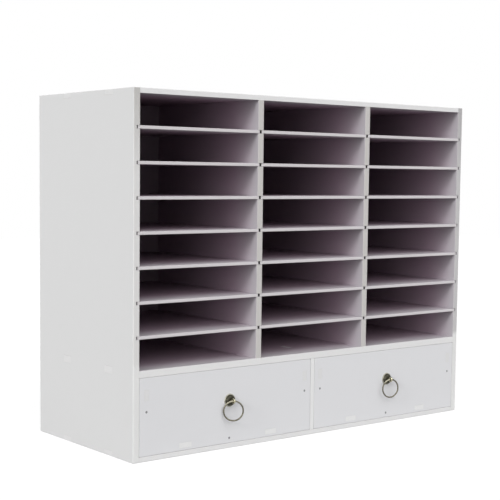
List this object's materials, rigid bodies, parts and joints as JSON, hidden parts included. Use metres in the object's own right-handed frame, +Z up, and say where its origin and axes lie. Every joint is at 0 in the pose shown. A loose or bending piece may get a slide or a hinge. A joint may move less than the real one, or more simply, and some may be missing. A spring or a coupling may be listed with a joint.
{
  "type": "literature organizer",
  "caption": "White slot-together paper sorter: a grid of open letter-size compartments in columns over two drawers, each with a round antique brass ring pull.",
  "frame": {"origin": "centre of the case's underside, where it rests", "axes": "+X to the right along the case's width, +Y to the back, +Z up; the open front and the drawers face -Y"},
  "size_m": [0.78, 0.3324, 0.612],
  "materials": {
    "white_board": "satin",
    "antique_brass": "aged",
    "screw_steel": "zinc plated"
  },
  "bodies": {
    "cabinet": {"left_side_panel": "white_board", "right_side_panel": "white_board", "top_panel": "white_board", "drawer_deck": "white_board", "bottom_panel": "white_board", "upright_1": "white_board", "upright_2": "white_board", "drawer_bay_divider": "white_board", "back_panel": "white_board", "back_panel_screws": "screw_steel", "column_1_shelf_1": "white_board", "column_1_shelf_2": "white_board", "column_1_shelf_3": "white_board", "column_1_shelf_4": "white_board", "column_1_shelf_5": "white_board", "column_1_shelf_6": "white_board", "column_1_shelf_7": "white_board", "column_2_shelf_1": "white_board", "column_2_shelf_2": "white_board", "column_2_shelf_3": "white_board", "column_2_shelf_4": "white_board", "column_2_shelf_5": "white_board", "column_2_shelf_6": "white_board", "column_2_shelf_7": "white_board", "column_3_shelf_1": "white_board", "column_3_shelf_2": "white_board", "column_3_shelf_3": "white_board", "column_3_shelf_4": "white_board", "column_3_shelf_5": "white_board", "column_3_shelf_6": "white_board", "column_3_shelf_7": "white_board", "left_bay_left_runner": "white_board", "left_bay_right_runner": "white_board", "right_bay_left_runner": "white_board", "right_bay_right_runner": "white_board"},
    "drawer_left": {"left_drawer_front": "white_board", "left_drawer_left_side": "white_board", "left_drawer_right_side": "white_board", "left_drawer_back": "white_board", "left_drawer_bottom": "white_board", "left_drawer_screws": "screw_steel", "left_drawer_pull_rosette": "antique_brass", "left_drawer_pull_eye_post": "antique_brass", "left_drawer_pull_washer": "screw_steel", "left_drawer_pull_nut": "screw_steel"},
    "drawer_right": {"right_drawer_front": "white_board", "right_drawer_left_side": "white_board", "right_drawer_right_side": "white_board", "right_drawer_back": "white_board", "right_drawer_bottom": "white_board", "right_drawer_screws": "screw_steel", "right_drawer_pull_rosette": "antique_brass", "right_drawer_pull_eye_post": "antique_brass", "right_drawer_pull_washer": "screw_steel", "right_drawer_pull_nut": "screw_steel"},
    "ring_left": {"left_drawer_pull_ring": "antique_brass"},
    "ring_right": {"right_drawer_pull_ring": "antique_brass"}
  },
  "joints": [
    {"name": "left_drawer_slide", "type": "slide", "parent": "cabinet", "child": "drawer_left", "axis": [0, -1, 0], "range_m": [0, 0.22]},
    {"name": "right_drawer_slide", "type": "slide", "parent": "cabinet", "child": "drawer_right", "axis": [0, -1, 0], "range_m": [0, 0.22]},
    {"name": "left_ring_swing", "type": "hinge", "parent": "drawer_left", "child": "ring_left", "pos_m": [-0.19125, -0.1672, 0.0843], "axis": [-0.891, 0.454, 0], "range_deg": [-5, 175]},
    {"name": "right_ring_swing", "type": "hinge", "parent": "drawer_right", "child": "ring_right", "pos_m": [0.19125, -0.1672, 0.0843], "axis": [-0.9781, 0.2079, 0], "range_deg": [-13, 175]}
  ]
}
